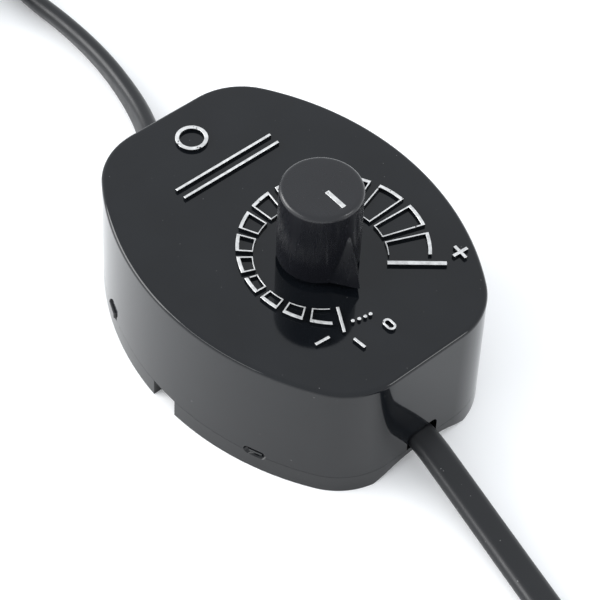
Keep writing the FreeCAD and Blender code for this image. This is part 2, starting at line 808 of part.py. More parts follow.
def coil_solid(centre, layers):
    top = coil_foot + layers * cord_wide
    outer = coil_outer_turn + cord_thick / 2
    inner = coil_inner_turn - cord_thick / 2
    ring = tube(centre.x, centre.y, 0, top, outer, inner)
    return ring.makeFillet(1.5, [e for e in ring.Edges if e.BoundBox.ZMin > top - 0.1 and e.Length > 50])


def coil_tie(centre, layers, angle):
    """Flat strap round the whole bundle of turns."""
    top = coil_foot + layers * cord_wide
    outer = coil_outer_turn + cord_thick / 2
    inner = coil_inner_turn - cord_thick / 2
    strap = box(inner - tie_thick, outer + tie_thick, -tie_wide / 2, tie_wide / 2, 0, top + tie_thick)
    strap = strap.cut(box(inner, outer, -tie_wide, tie_wide, tie_thick, top))
    strap.rotate(V(0, 0, 0), UP, angle)
    strap.translate(centre)
    return strap


def plug_parts():
    """Flat two-pin plug, drawn with its rear on the YZ plane and its pins towards +X, then turned round."""
    z0 = coil_foot + supply_layers * cord_wide
    z = z0 + plug_thick / 2
    half = plug_wide / 2
    plan = [
        (0, -6.5),
        (9, -13),
        (20, -half),
        (plug_long, -half),
        (plug_long, half),
        (20, half),
        (9, 13),
        (0, 6.5),
    ]
    body = prism(plan, z0, z0 + plug_thick)
    body = body.makeFillet(2.0, body.Edges)
    pins = []
    for y in (-pin_spacing / 2, pin_spacing / 2):
        pin = Part.makeCylinder(pin_radius, pin_length, V(plug_long, y, z), V(1, 0, 0))
        tip = [e for e in pin.Edges if e.BoundBox.XMin > plug_long + pin_length - 0.01]
        root = Part.makeCylinder(pin_root, 6, V(plug_long - 6, y, z), V(1, 0, 0))
        pins.append(join(pin.makeFillet(1.2, tip), root))
        body = body.cut(Part.makeCylinder(pin_root, 7, V(plug_long - 6, y, z), V(1, 0, 0)))
    relief = Part.makeLoft([oval(-relief_length, z, 4.6, 3.2), oval(4, z, 6.0, 5.2)], True)
    body = body.cut(relief)
    hole = oval(-relief_length - 1, z, cord_wide / 2, cord_thick / 2)
    relief = relief.cut(Part.Face(hole).extrude(V(9, 0, 0)))
    pieces = [body, Part.makeCompound(pins), relief]
    for piece in pieces:
        piece.rotate(V(0, 0, 0), UP, 180)
        piece.translate(V(plug_rear, plug_y, 0))
    return pieces


def oval(x, z, half_wide, half_thick):
    """Upright section across X: two half rounds joined by flats."""
    reach = half_wide - half_thick
    right = V(x, -reach, z)
    left = V(x, reach, z)
    side = V(0, half_thick, 0)
    rise = V(0, 0, half_thick)
    return Part.Wire(
        [
            Part.Arc(left + rise, left + side, left - rise).toShape(),
            Part.makeLine(left - rise, right - rise),
            Part.Arc(right - rise, right - side, right + rise).toShape(),
            Part.makeLine(right + rise, left + rise),
        ]
    )


def bare_core(radius_at, start, stop, radius, z):
    """Stretch of a core lying on the coil, an arc about the centre of the coil."""
    centre = load_coil_at
    section = Part.Face(Part.Wire(Part.makeCircle(radius, V(radius_at, 0, z), V(0, 1, 0))))
    piece = section.revolve(V(0, 0, 0), UP, stop - start)
    piece.rotate(V(0, 0, 0), UP, start)
    piece.translate(centre)
    return piece


def load_end():
    """Stripped end of the load cord: two cores with crimped ferrules, on top of the last turn but one."""
    z = coil_foot + load_layers * cord_wide - cord_wide / 2
    start = load_end_angle
    core_turn = 46
    ferrule_turn = 11
    levels = (z + core_pitch / 2, z - core_pitch / 2)
    cores = [bare_core(coil_outer_turn, start, start + core_turn, core_radius, level) for level in levels]
    ferrules = [
        bare_core(coil_outer_turn, start + core_turn, start + core_turn + ferrule_turn, 0.75, level)
        for level in levels
    ]
    low = coil_foot + cord_wide
    top = coil_foot + load_layers * cord_wide
    pocket = Part.Face(
        Part.makePolygon(
            [
                V((coil_outer_turn + coil_inner_turn) / 2, 0, low),
                V(coil_outer_turn + 4, 0, low),
                V(coil_outer_turn + 4, 0, top + 1),
                V((coil_outer_turn + coil_inner_turn) / 2, 0, top + 1),
                V((coil_outer_turn + coil_inner_turn) / 2, 0, low),
            ]
        )
    ).revolve(V(0, 0, 0), UP, core_turn + ferrule_turn + 3)
    pocket.rotate(V(0, 0, 0), UP, start)
    pocket.translate(load_coil_at)
    return cores[0], cores[1], Part.makeCompound(ferrules), pocket


def main():
    os.makedirs("parts", exist_ok=True)
    save("top_shell", top_shell())
    save("dial_foil", layer_of(all_marks(), height + mark_height, foil_thick))
    save("base_cover", base_cover())
    save("circuit_board", circuit_board())
    save("board_screws", board_screws())
    save("pot_body", pot_body())
    save("pot_track", pot_track())
    save("pot_terminals", pot_terminals())
    save("pot_bush", pot_bush())
    save("pot_washer", tube(dial_x, 0, height, height + 0.5, 5.5, bush_radius + 0.05))
    save("pot_nut", pot_nut())
    save("pot_shaft", pot_shaft())
    save("pot_wiper", pot_wiper())
    save("switch_housing", switch_housing())
    save("switch_cam", switch_cam())
    save("switch_terminals", switch_terminals())
    save("knob", knob())
    save("knob_mark", knob_mark())
    save("knob_spring", knob_spring())
    save("triac", triac())
    save("heatsink", heatsink())
    save("heatsink_screw", heatsink_screw())
    save("choke_core", choke_core())
    save("choke_winding", choke_winding())
    save("filter_capacitor", boxed_capacitor(-12.5, 6, 18, 7, 12.5, 15))
    save("timing_capacitor", boxed_capacitor(19.5, -12, 7.2, 2.8, 6.5, 5))
    resistors = [axial_part(8.5, y, 6.3, 1.2, 0.3, 10) for y in (-13.2, -16.6, -20.0)]
    save("resistors", Part.makeCompound(resistors))
    save("diac", axial_part(19.0, -17.0, 4.0, 1.0, 0.25, 7.5))
    save("fuse", fuse())
    save("fuse_clips", fuse_clips())
    save("terminal_blocks", terminal_blocks())
    save("terminal_screws", terminal_screws())
    save("cord_clamps", cord_clamps())
    save("clamp_screws", clamp_screws())
    save("brown_cores", inner_cores(1))
    save("blue_cores", inner_cores(-1))
    save("supply_cord", flat_cord(supply_route, "supply cord"))
    save("load_cord", flat_cord(load_route, "load cord"))
    supply_tie = coil_tie(supply_coil_at, supply_layers, supply_tie_angle)
    save("supply_coil", coil_solid(supply_coil_at, supply_layers).cut(supply_tie))
    save("supply_tie", supply_tie)
    brown, blue, ferrules, pocket = load_end()
    load_tie = coil_tie(load_coil_at, load_layers, load_tie_angle)
    save("load_coil", coil_solid(load_coil_at, load_layers).cut(load_tie).cut(pocket))
    save("load_tie", load_tie)
    save("load_brown_core", brown)
    save("load_blue_core", blue)
    save("load_ferrules", ferrules)
    plug, pins, relief = plug_parts()
    save("plug_body", plug)
    save("plug_pins", pins)
    save("plug_relief", relief)


main()
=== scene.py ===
import math

import bmesh
import bpy
import numpy as np
from mathutils import Matrix, Vector


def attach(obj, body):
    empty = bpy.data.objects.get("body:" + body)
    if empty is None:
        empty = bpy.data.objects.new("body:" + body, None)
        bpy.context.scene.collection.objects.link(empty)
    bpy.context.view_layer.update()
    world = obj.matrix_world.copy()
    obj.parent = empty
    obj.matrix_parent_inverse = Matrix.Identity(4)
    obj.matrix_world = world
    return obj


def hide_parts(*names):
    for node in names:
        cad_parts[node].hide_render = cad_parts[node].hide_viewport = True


# In-line dial speed control on a flat mains cord, dressed for a studio shot.
# Lengths are in millimetres and become metres where a mesh is made.

mm = 0.001
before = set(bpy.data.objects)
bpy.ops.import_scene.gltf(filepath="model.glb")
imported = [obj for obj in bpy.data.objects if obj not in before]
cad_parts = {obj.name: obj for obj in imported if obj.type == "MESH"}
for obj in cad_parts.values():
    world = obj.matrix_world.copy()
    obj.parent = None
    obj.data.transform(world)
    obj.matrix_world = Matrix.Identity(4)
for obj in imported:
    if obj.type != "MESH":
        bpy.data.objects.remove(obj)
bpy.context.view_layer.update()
print("frame loaded:", len(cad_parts), "solids")

housing = {
    "halfLength": 47.5, "halfWidth": 37.0, "endWidth": 18.75, "cornerRadius": 17.6,
    "height": 36.0, "flare": 0.87, "wall": 2.2, "roof": 2.5, "edgeRadius": 1.0, "split": 5.2,
    "shadowGap": 0.07, "gapDepth": 0.6,
}
cordSize = {"wide": 7.5, "thick": 4.6}
coil = {"outer": 40.0, "inner": 35.0, "foot": 0.6}


def addPiece(name, points, faces, sharpFrom=35.0):
    # one mesh object, points in millimetres
    mesh = bpy.data.meshes.new(name)
    mesh.from_pydata((np.asarray(points, float) * mm).tolist(), [], [list(map(int, f)) for f in faces])
    return wrapMesh(name, mesh, sharpFrom)


def wrapMesh(name, mesh, sharpFrom=35.0):
    mesh.validate()
    mesh.shade_smooth()
    mesh.set_sharp_from_angle(angle=math.radians(sharpFrom))
    piece = bpy.data.objects.new(name, mesh)
    bpy.context.scene.collection.objects.link(piece)
    return piece


def gridFaces(rows, columns, closed=True, start=0):
    # quads of a grid kept row by row; closed joins the last column to the first
    first = np.arange(rows - 1)[:, None] * columns
    column = np.arange(columns if closed else columns - 1)[None, :]
    after = (column + 1) % columns
    corners = [first + column, first + after, first + after + columns, first + column + columns]
    return (np.stack(corners, -1).reshape(-1, 4) + start).tolist()


def capFan(ring, pole, flip=False):
    # triangles from a ring of point numbers to one pole
    ring = np.asarray(ring)
    after = np.roll(ring, -1)
    pair = [after, ring] if flip else [ring, after]
    return np.stack(pair + [np.full(len(ring), pole)], -1).tolist()


def settle(piece, body, slotName, *solids):
    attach(piece, body)
    if solids:
        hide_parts(*solids)
    return piece


finishes = {}


def makeFinish(name, look):
    # shader with drifting colour, fine specks, uneven gloss and a shallow surface grain
    material = bpy.data.materials.new(name)
    material.use_nodes = True
    nodes, links = material.node_tree.nodes, material.node_tree.links
    shader = nodes["Principled BSDF"]
    place = nodes.new("ShaderNodeTexCoord")

    def noise(scale, detail, rough=0.55, stretch=None):
        node = nodes.new("ShaderNodeTexNoise")
        node.inputs["Scale"].default_value = scale
        node.inputs["Detail"].default_value = detail
        node.inputs["Roughness"].default_value = rough
        if stretch is None:
            links.new(place.outputs["Object"], node.inputs["Vector"])
        else:
            mapping = nodes.new("ShaderNodeMapping")
            mapping.inputs["Scale"].default_value = stretch
            links.new(place.outputs["Object"], mapping.inputs["Vector"])
            links.new(mapping.outputs["Vector"], node.inputs["Vector"])
        return node.outputs["Fac"]

    def ranged(source, low, high, toLow, toHigh):
        node = nodes.new("ShaderNodeMapRange")
        node.inputs["From Min"].default_value = low
        node.inputs["From Max"].default_value = high
        node.inputs["To Min"].default_value = toLow
        node.inputs["To Max"].default_value = toHigh
        links.new(source, node.inputs["Value"])
        return node.outputs["Result"]

    def blendColour(factor, first, second):
        node = nodes.new("ShaderNodeMix")
        node.data_type = "RGBA"
        links.new(factor, node.inputs["Factor"])
        for socket, value in ((node.inputs[6], first), (node.inputs[7], second)):
            if isinstance(value, tuple):
                socket.default_value = (*value, 1.0)
            else:
                links.new(value, socket)
        return node.outputs[2]

    stretch = look.get("stretch")
    drift = ranged(noise(look.get("driftScale", 60), 3, stretch=stretch), 0.35, 0.65, 0.0, 1.0)
    colour = blendColour(drift, look["colour"], look.get("colourTwo", look["colour"]))
    if "speck" in look:
        speckNoise = noise(look.get("speckScale", 2600), 1, 0.4)
        mask = ranged(speckNoise, look.get("speckFrom", 0.76), look.get("speckFrom", 0.76) + 0.03, 0.0, 1.0)
        colour = blendColour(mask, colour, look["speck"])
    links.new(colour, shader.inputs["Base Color"])
    low, high = look["rough"]
    uneven = noise(look.get("roughScale", 240), 4, 0.6, stretch)
    links.new(ranged(uneven, 0.3, 0.7, low, high), shader.inputs["Roughness"])
    bump = nodes.new("ShaderNodeBump")
    bump.inputs["Strength"].default_value = look.get("bump", 0.2)
    bump.inputs["Distance"].default_value = look.get("bumpDepth", 0.00003)
    links.new(noise(look.get("grainScale", 1800), 3, 0.5, stretch), bump.inputs["Height"])
    links.new(bump.outputs["Normal"], shader.inputs["Normal"])
    shader.inputs["Metallic"].default_value = look.get("metal", 0.0)
    shader.inputs["IOR"].default_value = look.get("ior", 1.5)
    shader.inputs["Coat Weight"].default_value = look.get("coat", 0.0)
    shader.inputs["Coat Roughness"].default_value = 0.05
    shader.inputs["Transmission Weight"].default_value = look.get("clear", 0.0)
    finishes[name] = material


looks = {
    "gloss_black": dict(
        colour=(0.0030, 0.0038, 0.0052), colourTwo=(0.0045, 0.0055, 0.0072), rough=(0.05, 0.085),
        speck=(0.12, 0.12, 0.12), speckScale=1500, speckFrom=0.8, bump=0.06, grainScale=420, ior=1.4
    ),
    "black_abs": dict(
        colour=(0.005, 0.0058, 0.007), colourTwo=(0.008, 0.009, 0.0105), rough=(0.07, 0.14),
        speck=(0.1, 0.1, 0.1), speckScale=1500, speckFrom=0.8, bump=0.08, grainScale=600, ior=1.4
    ),
    "satin_black": dict(
        colour=(0.0032, 0.0035, 0.0052), colourTwo=(0.0052, 0.0056, 0.0078), rough=(0.22, 0.32),
        roughScale=300, stretch=(1, 1, 0.12), speck=(0.12, 0.12, 0.13), speckScale=1700, speckFrom=0.79,
        bump=0.03, grainScale=700
    ),
    "silver_foil": dict(
        colour=(0.74, 0.74, 0.735), colourTwo=(0.52, 0.52, 0.515), rough=(0.28, 0.5), driftScale=700,
        speck=(0.05, 0.05, 0.05), speckScale=1100, speckFrom=0.72, bump=0.5, grainScale=1600,
        bumpDepth=0.00006, metal=0.55
    ),
    "board_laminate": dict(colour=(0.05, 0.19, 0.07), colourTwo=(0.04, 0.15, 0.06), rough=(0.3, 0.45)),
    "brown_laminate": dict(colour=(0.20, 0.09, 0.03), colourTwo=(0.15, 0.065, 0.022), rough=(0.4, 0.6)),
    "zinc_steel": dict(
        colour=(0.62, 0.62, 0.60), colourTwo=(0.5, 0.51, 0.5), rough=(0.25, 0.42), metal=1.0
    ),
    "nickel_brass": dict(
        colour=(0.72, 0.69, 0.63), colourTwo=(0.62, 0.6, 0.55), rough=(0.14, 0.28), metal=1.0
    ),
    "tinned_brass": dict(
        colour=(0.68, 0.67, 0.63), colourTwo=(0.55, 0.54, 0.5), rough=(0.25, 0.45), metal=1.0
    ),
    "white_nylon": dict(colour=(0.78, 0.77, 0.73), colourTwo=(0.7, 0.69, 0.65), rough=(0.35, 0.5)),
    "black_epoxy": dict(colour=(0.012, 0.012, 0.013), colourTwo=(0.02, 0.02, 0.02), rough=(0.4, 0.6)),
    "heatsink_aluminium": dict(
        colour=(0.7, 0.71, 0.72), colourTwo=(0.6, 0.61, 0.62), rough=(0.3, 0.45), metal=1.0,
        stretch=(1, 1, 0.08)
    ),
    "ferrite": dict(colour=(0.04, 0.04, 0.042), colourTwo=(0.06, 0.06, 0.062), rough=(0.5, 0.7)),
    "enamelled_copper": dict(
        colour=(0.45, 0.14, 0.05), colourTwo=(0.36, 0.1, 0.03), rough=(0.16, 0.3), metal=1.0, coat=0.5
    ),
    "yellow_film": dict(colour=(0.62, 0.46, 0.05), colourTwo=(0.55, 0.4, 0.04), rough=(0.3, 0.42)),
    "resistor_lacquer": dict(colour=(0.45, 0.33, 0.2), colourTwo=(0.38, 0.27, 0.15), rough=(0.3, 0.45)),
    "diode_glass": dict(colour=(0.45, 0.14, 0.06), colourTwo=(0.3, 0.08, 0.03), rough=(0.06, 0.14)),
    "fuse_glass": dict(
        colour=(0.82, 0.85, 0.85), colourTwo=(0.78, 0.82, 0.82), rough=(0.03, 0.08), clear=0.7
    ),
    "terminal_green": dict(colour=(0.03, 0.22, 0.07), colourTwo=(0.025, 0.17, 0.055), rough=(0.35, 0.5)),
    "brown_pvc": dict(colour=(0.12, 0.045, 0.018), colourTwo=(0.1, 0.036, 0.014), rough=(0.35, 0.5)),
    "blue_pvc": dict(colour=(0.02, 0.1, 0.42), colourTwo=(0.016, 0.08, 0.34), rough=(0.35, 0.5)),
    "cord_pvc": dict(
        colour=(0.0046, 0.0052, 0.0066), colourTwo=(0.0068, 0.0074, 0.009), rough=(0.34, 0.42),
        ior=1.45, speck=(0.16, 0.16, 0.16), speckScale=1300, speckFrom=0.8, bump=0.12, grainScale=1500
    ),
    "tie_pvc": dict(
        colour=(0.012, 0.012, 0.013), colourTwo=(0.018, 0.018, 0.019), rough=(0.6, 0.75), bump=0.3
    ),
    "plug_pvc": dict(
        colour=(0.014, 0.0145, 0.0155), colourTwo=(0.02, 0.0205, 0.0215), rough=(0.3, 0.45), bump=0.35,
        grainScale=2200
    ),
}
for name, look in looks.items():
    makeFinish(name, look)
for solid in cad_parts.values():
    for used in solid.material_slots:
        used.material = finishes[used.material.name.split(".")[0]]
print("finishes made:", len(finishes))


def dress(piece, finish):
    piece.data.materials.clear()
    piece.data.materials.append(finishes[finish])
    return piece


shot = {  # metres, degrees and millimetres of focal length
    "place": (0.22889, -0.20858, 0.39699), "target": (-0.004237, 0.007942, 0.0),
    "roll": 3.087, "lens": 123.2,
}


def setCamera():
    back = (Vector(shot["place"]) - Vector(shot["target"])).normalized()
    level = Vector((0, 0, 1)).cross(back).normalized()
    rise = back.cross(level)
    roll = math.radians(shot["roll"])
    right = level * math.cos(roll) + rise * math.sin(roll)
    up = rise * math.cos(roll) - level * math.sin(roll)
    data = bpy.data.cameras.new("shotCamera")
    data.lens = shot["lens"]
    data.sensor_width = 36.0
    data.clip_end = 20.0
    camera = bpy.data.objects.new("shotCamera", data)
    turn = Matrix((right, up, back)).transposed().to_4x4()
    camera.matrix_world = Matrix.Translation(Vector(shot["place"])) @ turn
    bpy.context.scene.collection.objects.link(camera)
    bpy.context.scene.camera = camera


setCamera()


# Housing top: the plan is two end flats, four corner arcs and two long side arcs.
side = {}
side["bow"] = housing["halfWidth"] - housing["endWidth"]
side["radius"] = (housing["halfLength"] ** 2 + side["bow"] ** 2) / (2 * side["bow"])
side["centre"] = housing["halfWidth"] - side["radius"]


def housingPlan(perFlat=5, perCorner=18, perSide=34):
    # one quarter, then its mirror images: points of the plan and the outward directions there
    long, corner = housing["halfLength"], housing["cornerRadius"]
    cornerX = long - corner
    cornerY = side["centre"] + math.sqrt((side["radius"] - corner) ** 2 - cornerX ** 2)
    lean = math.atan2(cornerY - side["centre"], cornerX)
    flatY = np.linspace(0, cornerY, perFlat, endpoint=False)
    turnCorner = np.linspace(0, lean, perCorner, endpoint=False)
    turnSide = np.linspace(lean, math.pi / 2, perSide)
    points = np.vstack([
        np.c_[np.full(perFlat, long), flatY],
        np.c_[cornerX + corner * np.cos(turnCorner), cornerY + corner * np.sin(turnCorner)],
        np.c_[side["radius"] * np.cos(turnSide), side["centre"] + side["radius"] * np.sin(turnSide)],
    ])
    turn = np.concatenate([np.zeros(perFlat), turnCorner, turnSide])
    outward = np.c_[np.cos(turn), np.sin(turn)]

    def mirrored(rows):
        right = np.vstack([rows, (rows * (-1, 1))[-2::-1]])
        return np.vstack([right, (right * (1, -1))[-2:0:-1]])

    return mirrored(points), mirrored(outward)


def growAt(z):
    return housing["flare"] * (1 - z / housing["height"])


def shellRings(levels, plan):
    # one ring for each (height, move outwards, scale about the middle)
    points, outward = plan
    rings = []
    for z, move, scale in levels:
        flat = (points + move * outward) * scale
        rings.append(np.c_[flat, np.full(len(flat), z)])
    return np.array(rings)


def closedShell(name, rings, poles, sharpFrom=35.0):
    # a stack of rings closed by a pole at each end
    rows, columns = rings.shape[:2]
    points = np.vstack([rings.reshape(-1, 3), poles])
    faces = gridFaces(rows, columns)
    first = rows * columns
    faces += capFan(np.arange(columns), first, flip=True)
    faces += capFan((rows - 1) * columns + np.arange(columns), first + 1)
    return addPiece(name, points, faces, sharpFrom)


def cutOut(piece, cutters):
    # exact cut with each cutter, kept in the mesh itself
    for cutter in cutters:
        cut = piece.modifiers.new("cut", "BOOLEAN")
        cut.operation = "DIFFERENCE"
        cut.solver = "EXACT"
        cut.object = cutter
    bpy.context.view_layer.update()
    done = bpy.data.meshes.new_from_object(piece.evaluated_get(bpy.context.evaluated_depsgraph_get()))
    piece.modifiers.clear()
    old = piece.data
    piece.data = done
    bpy.data.meshes.remove(old)
    for cutter in cutters:
        bpy.data.objects.remove(cutter)
    piece.data.shade_smooth()
    piece.data.set_sharp_from_angle(angle=math.radians(30))
    return piece


def roundedBlock(name, low, high, radius, along):
    # block whose four edges along one axis (0 for X, 1 for Y) are rounded
    other = 1 - along
    turn = np.radians(np.arange(0, 360, 15) + 7.5)
    spanX = (high[other] - low[other]) / 2 - radius
    spanZ = (high[2] - low[2]) / 2 - radius
    across = (low[other] + high[other]) / 2 + np.sign(np.cos(turn)) * spanX + radius * np.cos(turn)
    rise = (low[2] + high[2]) / 2 + np.sign(np.sin(turn)) * spanZ + radius * np.sin(turn)
    rings = np.zeros((2, len(turn), 3))
    rings[:, :, other] = across
    rings[:, :, 2] = rise
    rings[0, :, along] = low[along]
    rings[1, :, along] = high[along]
    count = len(turn)
    faces = gridFaces(2, count)
    faces += [list(range(count))[::-1], list(range(count, 2 * count))]
    if along == 1:
        faces = [face[::-1] for face in faces]
    return addPiece(name, rings.reshape(-1, 3), faces)


# Each window is its place along X, its length and its lower and upper edge. Reach is how far in
# and how far out a cutter goes.
windows = {
    "near": (26.7, 5.4, 4.25, 6.85), "far": (-26.7, 5.3, 4.6, 8.0), "corner": 1.2, "reach": (24.0, 42.0),
}
slot = {"halfWidth": 4.6, "foot": 1.0, "top": 10.2, "corner": 1.6, "reach": (38.0, 53.0)}


def windowCutters():
    cutters = []
    for name in ("near", "far"):
        x, long, low, high = windows[name]
        for way in (-1, 1):
            inner, outer = sorted(way * reach for reach in windows["reach"])
            block = roundedBlock("window", (x - long / 2, inner, low), (x + long / 2, outer, high),
                                 windows["corner"], 1)
            cutters.append(block)
    return cutters


def makeTopShell():
    plan = housingPlan()
    deep, soft, split = housing["wall"], housing["edgeRadius"], housing["split"]
    roof = housing["height"] - housing["roof"]
    foot = split + housing["shadowGap"]
    crown = housing["height"] - soft
    turn = np.radians(np.linspace(4, 90, 9))
    levels = [(roof, -deep, scale) for scale in (0.15, 0.5, 0.8, 0.93)]
    levels += [(z, growAt(z) - deep, 1.0) for z in np.linspace(roof, split, 9)]  # inner wall
    levels += [(z, growAt(split) - housing["gapDepth"], 1.0) for z in (split, foot)]
    levels += [(z, growAt(z), 1.0) for z in foot + (crown - 0.01 - foot) * np.linspace(0, 1, 17)]
    levels += [(crown + soft * math.sin(t), growAt(crown) - soft + soft * math.cos(t), 1.0) for t in turn]
    flatTop = (0.985, 0.93, 0.8, 0.55, 0.3, 0.1)
    levels += [(housing["height"], growAt(crown) - soft, scale) for scale in flatTop]
    rings = shellRings(levels, plan)
    shell = closedShell("topShell", rings, [(0, 0, roof), (0, 0, housing["height"])], 30)
    cutters = windowCutters()
    for way in (-1, 1):
        inner, outer = sorted(way * reach for reach in slot["reach"])
        low, high = (inner, -slot["halfWidth"], slot["foot"]), (outer, slot["halfWidth"], slot["top"])
        cutters.append(roundedBlock("cordSlot", low, high, slot["corner"], 0))
    return cutOut(shell, cutters)


topShell = makeTopShell()
dress(topShell, "gloss_black")
broken = topShell.modifiers.new("edge", "BEVEL")
broken.width = 0.2 * mm
broken.segments = 2
broken.limit_method = "ANGLE"
broken.angle_limit = math.radians(50)
broken.harden_normals = True
even = topShell.modifiers.new("even", "WEIGHTED_NORMAL")
even.keep_sharp = True
settle(topShell, "housing", "gloss_black", "top_shell")
print("top shell:", len(topShell.data.polygons), "faces")

# Raised marks: each is a strip between an outer and an inner path, open or closed. Straight ones
# are x, y, angle and length. Round ones are x, y, half length, outer and inner radius.
dial = {
    "x": 10.45, "height": 0.8, "foil": 0.08, "count": 14, "pitch": 20.0, "first": 52.0, "angle": 14.9,
    "inner": 15.5, "outer": 22.6, "shift": 4.0,
    "innerStroke": 0.28, "sideStroke": 0.38, "outerStroke": 0.85, "bar": 1.1, "short": 0.7,
    "fullBar": (15.5, 15.8, 50.3, 13.7),
    "offBars": [(16.9, -8.6, -28.8, 7.2), (18.8, -15.7, -94.9, 3.8), (24.4, -9.7, 5.2, 3.4)],
    "plus": {"at": (19.3, 25.8), "angle": -4, "long": 4.2, "arm": 1.7, "armAt": 1.25, "stroke": 0.8},
    "dots": {"reach": 20.0, "radius": 0.45, "angles": (-19.7, -15.2, -10.8, -6.8)},
    "zero": (24.7, -1.05, 0.6, 1.15, 0.58), "ring": (-36.8, 0, 0.0, 4.0, 3.0),
    "rules": [(-25.9, 1.05, 90, 28.7), (-22.9, 1.05, 90, 28.7)],
}


def ringReach(angle, shift, radius):
    # distance from the middle to a circle of that radius whose centre stands shift along +Y
    return shift * np.sin(angle) + np.sqrt(radius ** 2 - (shift * np.cos(angle)) ** 2)


def arcBetween(lowSide, highSide, inset, shift, radius, count=14):
    # the part of a circle between two rays from the middle, each ray moved inwards by its inset
    angle = np.linspace(lowSide, highSide, 400)
    reach = ringReach(angle, shift, radius)
    x, y = reach * np.cos(angle), reach * np.sin(angle)
    fromLow = -x * math.sin(lowSide) + y * math.cos(lowSide)
    fromHigh = x * math.sin(highSide) - y * math.cos(highSide)
    inside = angle[(fromLow >= inset[0]) & (fromHigh >= inset[1])]
    angle = np.linspace(inside[0], inside[-1], count)
    reach = ringReach(angle, shift, radius)
    return np.c_[reach * np.cos(angle), reach * np.sin(angle)]


def frameStrip(index):
    # outline and opening of one frame; the first is open on its low side, the last on its high side
    low = math.radians(dial["first"] + dial["pitch"] * index)
    high = low + math.radians(dial["angle"])
    stroke = dial["sideStroke"]
    inset = (0.0 if index == 0 else stroke, 0.0 if index == dial["count"] - 1 else stroke)
    outer = arcBetween(low, high, (0, 0), dial["shift"], dial["outer"])
    inner = arcBetween(low, high, (0, 0), 0, dial["inner"])
    openOuter = arcBetween(low, high, inset, dial["shift"], dial["outer"] - dial["outerStroke"])
    openInner = arcBetween(low, high, inset, 0, dial["inner"] + dial["innerStroke"])
    if index == 0:
        return np.vstack([outer, inner[::-1]]), np.vstack([openOuter, openInner[::-1]]), False
    if index == dial["count"] - 1:
        return np.vstack([outer[::-1], inner]), np.vstack([openOuter[::-1], openInner]), False
    return np.vstack([outer, inner[::-1]]), np.vstack([openOuter, openInner[::-1]]), True


def barStrip(x, y, angle, long, stroke):
    turn = math.radians(angle)
    ahead, aside = np.array([math.cos(turn), math.sin(turn)]), np.array([-math.sin(turn), math.cos(turn)])
    half = ahead * long / 2
    ends = np.array([-half, half]) + (x, y)
    return ends + aside * stroke / 2, ends - aside * stroke / 2, False


def discStrip(x, y, radius, count=10):
    turn = np.linspace(0, math.pi, count)[1:-1]
    upper = np.c_[x + radius * np.cos(turn), y + radius * np.sin(turn)]
    return upper, upper * (1, -1) + (0, 2 * y), False


def roundStrip(x, y, halfLong, outer, inner, count=28):
    turn = np.linspace(0, 2 * math.pi, count, endpoint=False) + math.pi / count
    push = np.c_[np.sign(np.cos(turn)) * halfLong, np.zeros(count)] + (x, y)
    around = np.c_[np.cos(turn), np.sin(turn)]
    return push + outer * around, push + inner * around, True


def plusStrips():
    # one long bar and a short arm on each side of it
    plus = dial["plus"]
    middle = np.array(plus["at"])
    turn = math.radians(plus["angle"])
    aside = np.array([math.cos(turn), math.sin(turn)]) * plus["armAt"]
    strips = [barStrip(*middle, plus["angle"] + 90, plus["long"], plus["stroke"])]
    for way in (-1, 1):
        strips.append(barStrip(*(middle + way * aside), plus["angle"], plus["arm"], plus["stroke"]))
    return strips


def dialStrips():
    # the marks round the knob, placed from its middle, then the ring and the rules on the supply side
    middle = np.array([dial["x"], 0])
    dots = dial["dots"]
    strips = [frameStrip(index) for index in range(dial["count"])]
    strips.append(barStrip(*dial["fullBar"], dial["bar"]))
    strips += [barStrip(*bar, dial["short"]) for bar in dial["offBars"]]
    strips += plusStrips()
    for turn in np.radians(dots["angles"]):
        x, y = dots["reach"] * math.cos(turn), dots["reach"] * math.sin(turn)
        strips.append(discStrip(x, y, dots["radius"]))
    strips.append(roundStrip(*dial["zero"]))
    strips = [(outer + middle, inner + middle, closed) for outer, inner, closed in strips]
    strips.append(roundStrip(*dial["ring"], 56))
    strips += [barStrip(*rule, dial["short"]) for rule in dial["rules"]]
    return strips


def insetLoop(loop, distance):
    # every side of a closed loop moved to its left by the distance, corners mitred
    ahead = np.roll(loop, -1, 0) - loop
    ahead /= np.maximum(np.linalg.norm(ahead, axis=1), 1e-9)[:, None]
    left = np.c_[-ahead[:, 1], ahead[:, 0]]
    before = np.roll(left, 1, 0)
    mitre = left + before
    mitre *= (distance / np.maximum((1 + (left * before).sum(1)), 0.35))[:, None]
    return loop + mitre


def signedArea(loop):
    after = np.roll(loop, -1, 0)
    return 0.5 * float((loop[:, 0] * after[:, 1] - after[:, 0] * loop[:, 1]).sum())


